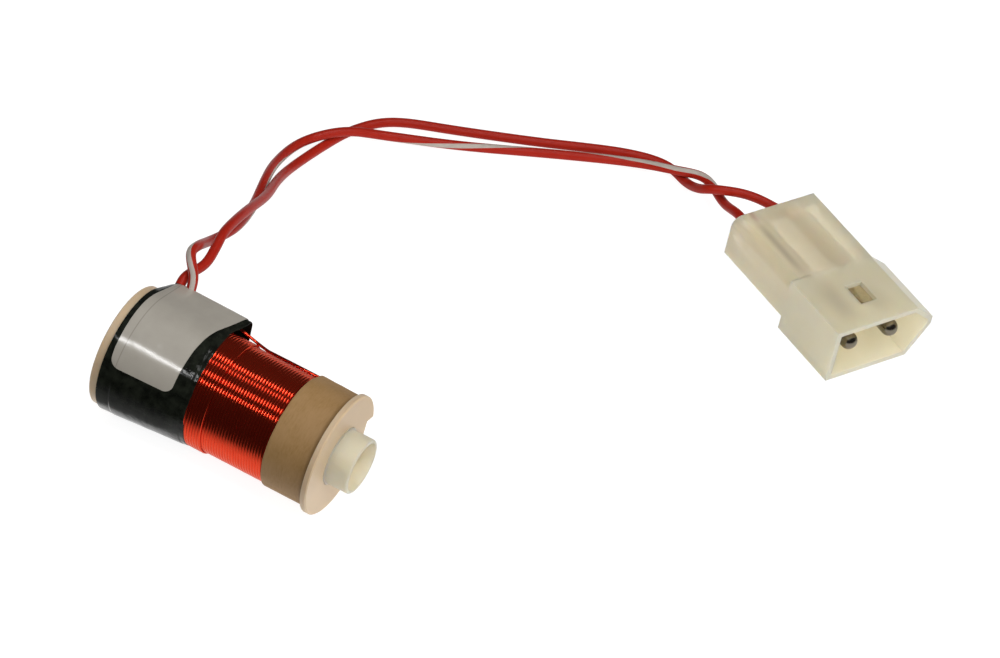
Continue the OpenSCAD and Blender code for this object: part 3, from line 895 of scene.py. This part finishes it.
for piece, node, body, slot, *coats in (
    (striped_lead, "lead_striped", "coil", "lead_pvc_traced", RED_VINYL, TRACER_INK),
    (plain_lead, "lead_plain", "coil", "lead_pvc", RED_VINYL, RED_VINYL),
    (main_turns, "winding_main", "coil", "magnet_wire", ENAMEL),
    (top_turns, "winding_top", "coil", "magnet_wire", ENAMEL),
    (tail, "finish_wire", "coil", "magnet_wire", ENAMEL),
    (cover, "cover_tape", "coil", "vinyl_tape", TAPE),
    (paper, "front_tape", "coil", "paper_tape", PAPER),
    (wrap, "under_wrap", "coil", "paper_tape", PAPER),
    (label, "label", "coil", "label_film", FILM),
    (plug, "plug_housing", "coil", "plug_nylon", PLUG_NYLON),
    (former, "bobbin", "coil", "bobbin_plastic", FORMER),
    (liner, "coil_sleeve", "sleeve", "sleeve_nylon", NYLON),
):
    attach(piece, body)
    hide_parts(node)
    for coat in coats:
        piece.data.materials.append(coat)

for names, coat in (
    (("winding_core", "start_wire"), ENAMEL),
    (("splice_start", "splice_finish"), SOLDER),
    (("strands_plain_coil", "strands_striped_coil",
      "strands_striped_pin", "strands_plain_pin"), STRANDS),
    (("pin_left", "pin_right"), TINNED),
):
    for name in names:
        for place in nodes[name].material_slots:
            place.material = coat

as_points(striped_line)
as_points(plain_line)


# Floor, sky and lamps

WHITE = (1, 1, 1, 1)
FLOOR_HALF = 4.0
FLOOR_DROP = 0.05
# Where the table changes, in metres across it or along the coil
LIT_Y = (-0.025, -0.008)
DIMMER_Y = (0.010, 0.020)
FRONT_END_X = (0.018, 0.030)
LINE_Y = (-0.0088, -0.0064)
LINE_END_X = (-0.010, -0.003)


def pale_floor():
    """White light table: white to the eye, with a soft shadow kept on it. In what the object
    mirrors, it glows under and behind the object and is dark on the camera's side."""
    made, tree = bare_material("light_table")
    ray = add(tree, "ShaderNodeLightPath")
    eye = ray.outputs["Is Camera Ray"]
    through = add(tree, "ShaderNodeMath", {
        0: eye, 1: ray.outputs["Is Transmission Ray"]}, operation="MAXIMUM")
    spot = add(tree, "ShaderNodeNewGeometry")
    place = add(tree, "ShaderNodeSeparateXYZ", {0: spot.outputs["Position"]})
    along, across = place.outputs[0], place.outputs[1]
    lit = add(tree, "ShaderNodeMapRange", {
        "Value": across, "From Min": LIT_Y[0], "From Max": LIT_Y[1]},
        interpolation_type="SMOOTHSTEP")
    # Mirrored, it is dimmer behind the coil, except beside the coil's front end
    far = add(tree, "ShaderNodeMapRange", {
        "Value": across, "From Min": DIMMER_Y[0], "From Max": DIMMER_Y[1],
        "To Min": 1.0, "To Max": 0.4}, interpolation_type="SMOOTHSTEP")
    beside = add(tree, "ShaderNodeMapRange", {
        "Value": along, "From Min": FRONT_END_X[0], "From Max": FRONT_END_X[1]},
        interpolation_type="SMOOTHSTEP")
    share = add(tree, "ShaderNodeMath", {
        0: far.outputs[0], 1: beside.outputs[0]}, operation="MAXIMUM")
    # Mirrored in the black tape, it shows as a thin bright line along the bottom
    under = add(tree, "ShaderNodeMapRange", {
        "Value": across, "From Min": LINE_Y[0], "From Max": LINE_Y[1],
        "To Min": 0.4, "To Max": 1.5}, interpolation_type="SMOOTHSTEP")
    ahead = add(tree, "ShaderNodeMapRange", {
        "Value": along, "From Min": LINE_END_X[0], "From Max": LINE_END_X[1]},
        interpolation_type="SMOOTHSTEP")
    rear = add(tree, "ShaderNodeMix", {
        0: ahead.outputs[0], 2: under.outputs[0], 3: 1.0}, data_type="FLOAT")
    share = add(tree, "ShaderNodeMath", {
        0: share.outputs[0], 1: rear.outputs[0]}, operation="MULTIPLY")
    share = add(tree, "ShaderNodeMix", {
        0: ray.outputs["Is Glossy Ray"], 2: 1.0, 3: share.outputs[0]}, data_type="FLOAT")
    lit = add(tree, "ShaderNodeMath", {
        0: lit.outputs[0], 1: share.outputs[0]}, operation="MULTIPLY")
    own = add(tree, "ShaderNodeMix", {
        0: lit.outputs[0], 6: linear("#242424"), 7: linear("#C6C6C6")}, data_type="RGBA")
    tone = add(tree, "ShaderNodeMix", {
        0: eye, 6: own.outputs[2], 7: linear("#8A8A8A")}, data_type="RGBA")
    sheet = add(tree, "ShaderNodeBsdfDiffuse", {"Color": tone.outputs[2]})
    glow = add(tree, "ShaderNodeMath", {0: lit.outputs[0], 1: 0.62}, operation="MULTIPLY")
    level = add(tree, "ShaderNodeMix", {
        0: through.outputs[0], 2: glow.outputs[0], 3: 0.92}, data_type="FLOAT")
    lamp = add(tree, "ShaderNodeEmission", {"Color": WHITE, "Strength": level.outputs[0]})
    both = add(tree, "ShaderNodeAddShader", {0: sheet.outputs[0], 1: lamp.outputs[0]})
    add(tree, "ShaderNodeOutputMaterial", {"Surface": both.outputs[0]})
    return made


def studio_sky():
    """White backdrop to the eye; to the object a dim room, darkest on the camera's side."""
    sky = bpy.data.worlds.new("studio")
    bpy.context.scene.world = sky
    sky.use_nodes = True
    tree = sky.node_tree
    tree.nodes.clear()
    ray = add(tree, "ShaderNodeLightPath")
    through = add(tree, "ShaderNodeMath", {
        0: ray.outputs["Is Camera Ray"], 1: ray.outputs["Is Transmission Ray"]},
        operation="MAXIMUM")
    way = add(tree, "ShaderNodeTexCoord")
    part = add(tree, "ShaderNodeSeparateXYZ", {0: way.outputs["Generated"]})
    room = add(tree, "ShaderNodeMapRange", {
        "Value": part.outputs[1], "From Min": -0.5, "From Max": 0.5,
        "To Min": 0.016, "To Max": 0.06}, interpolation_type="SMOOTHSTEP")
    ceiling = add(tree, "ShaderNodeMapRange", {
        "Value": part.outputs[2], "From Min": 0.75, "From Max": 0.97,
        "To Min": 0.0, "To Max": 0.05}, interpolation_type="SMOOTHSTEP")
    dim = add(tree, "ShaderNodeMath", {
        0: room.outputs[0], 1: ceiling.outputs[0]}, operation="ADD")
    level = add(tree, "ShaderNodeMix", {
        0: through.outputs[0], 2: dim.outputs[0], 3: 1.0}, data_type="FLOAT")
    back = add(tree, "ShaderNodeBackground", {"Color": WHITE, "Strength": level.outputs[0]})
    add(tree, "ShaderNodeOutputWorld", {"Surface": back.outputs[0]})


def softbox(name, turn, aside, far, across, tall, power, mirrored=True):
    """A soft lamp facing the coil, by its turn about the coil's axis and its slant along it, its
    distance and size in metres. A lamp that is not mirrored only lifts the matte colours."""
    lamp = bpy.data.lights.new(name, "AREA")
    lamp.shape = "RECTANGLE"
    lamp.size = across
    lamp.size_y = tall
    lamp.energy = power
    made = bpy.data.objects.new(name, lamp)
    a, b = math.radians(turn), math.radians(aside)
    way = Vector((math.sin(b), math.cos(b) * math.cos(a), math.cos(b) * math.sin(a)))
    side = Vector((1, 0, 0))
    side = (side - way * side.dot(way)).normalized()
    spot = Vector((0, 0, AXIS_Z * MM)) + way * far
    made.matrix_world = Matrix.Translation(spot) @ Matrix(
        (side, way.cross(side), way)).transposed().to_4x4()
    made.visible_camera = False
    made.visible_glossy = mirrored
    bpy.context.scene.collection.objects.link(made)


sweep = bmesh.new()
bmesh.ops.create_grid(sweep, x_segments=1, y_segments=1, size=FLOOR_HALF)
floor_mesh = bpy.data.meshes.new("floor")
sweep.to_mesh(floor_mesh)
sweep.free()
floor = bpy.data.objects.new("floor", floor_mesh)
floor.location.z = -FLOOR_DROP * MM
floor_mesh.materials.append(pale_floor())
bpy.context.scene.collection.objects.link(floor)
studio_sky()

# Four strip lamps above, each of which draws one row of glints along the winding
for number, (turn, tall, power) in enumerate((
    (70.0, 0.06, 0.48), (85.2, 0.06, 0.24), (110.0, 0.08, 0.42), (128.4, 0.08, 0.11),
)):
    softbox("strip_lamp_%d" % number, turn, 13, 0.6, 0.4, tall, power)
# A small lamp for the label's highlight, and large ones for the matte colours
softbox("label_box", 128.5, -9, 0.6, 0.1, 0.05, 0.26)
softbox("side_box", 100, 60, 0.6, 0.4, 0.4, 1.0, mirrored=False)
softbox("fill_box", 105, 15, 1.0, 1.2, 1.2, 4.4, mirrored=False)
softbox("front_fill", 175, 25, 1.0, 0.8, 0.8, 2.1, mirrored=False)
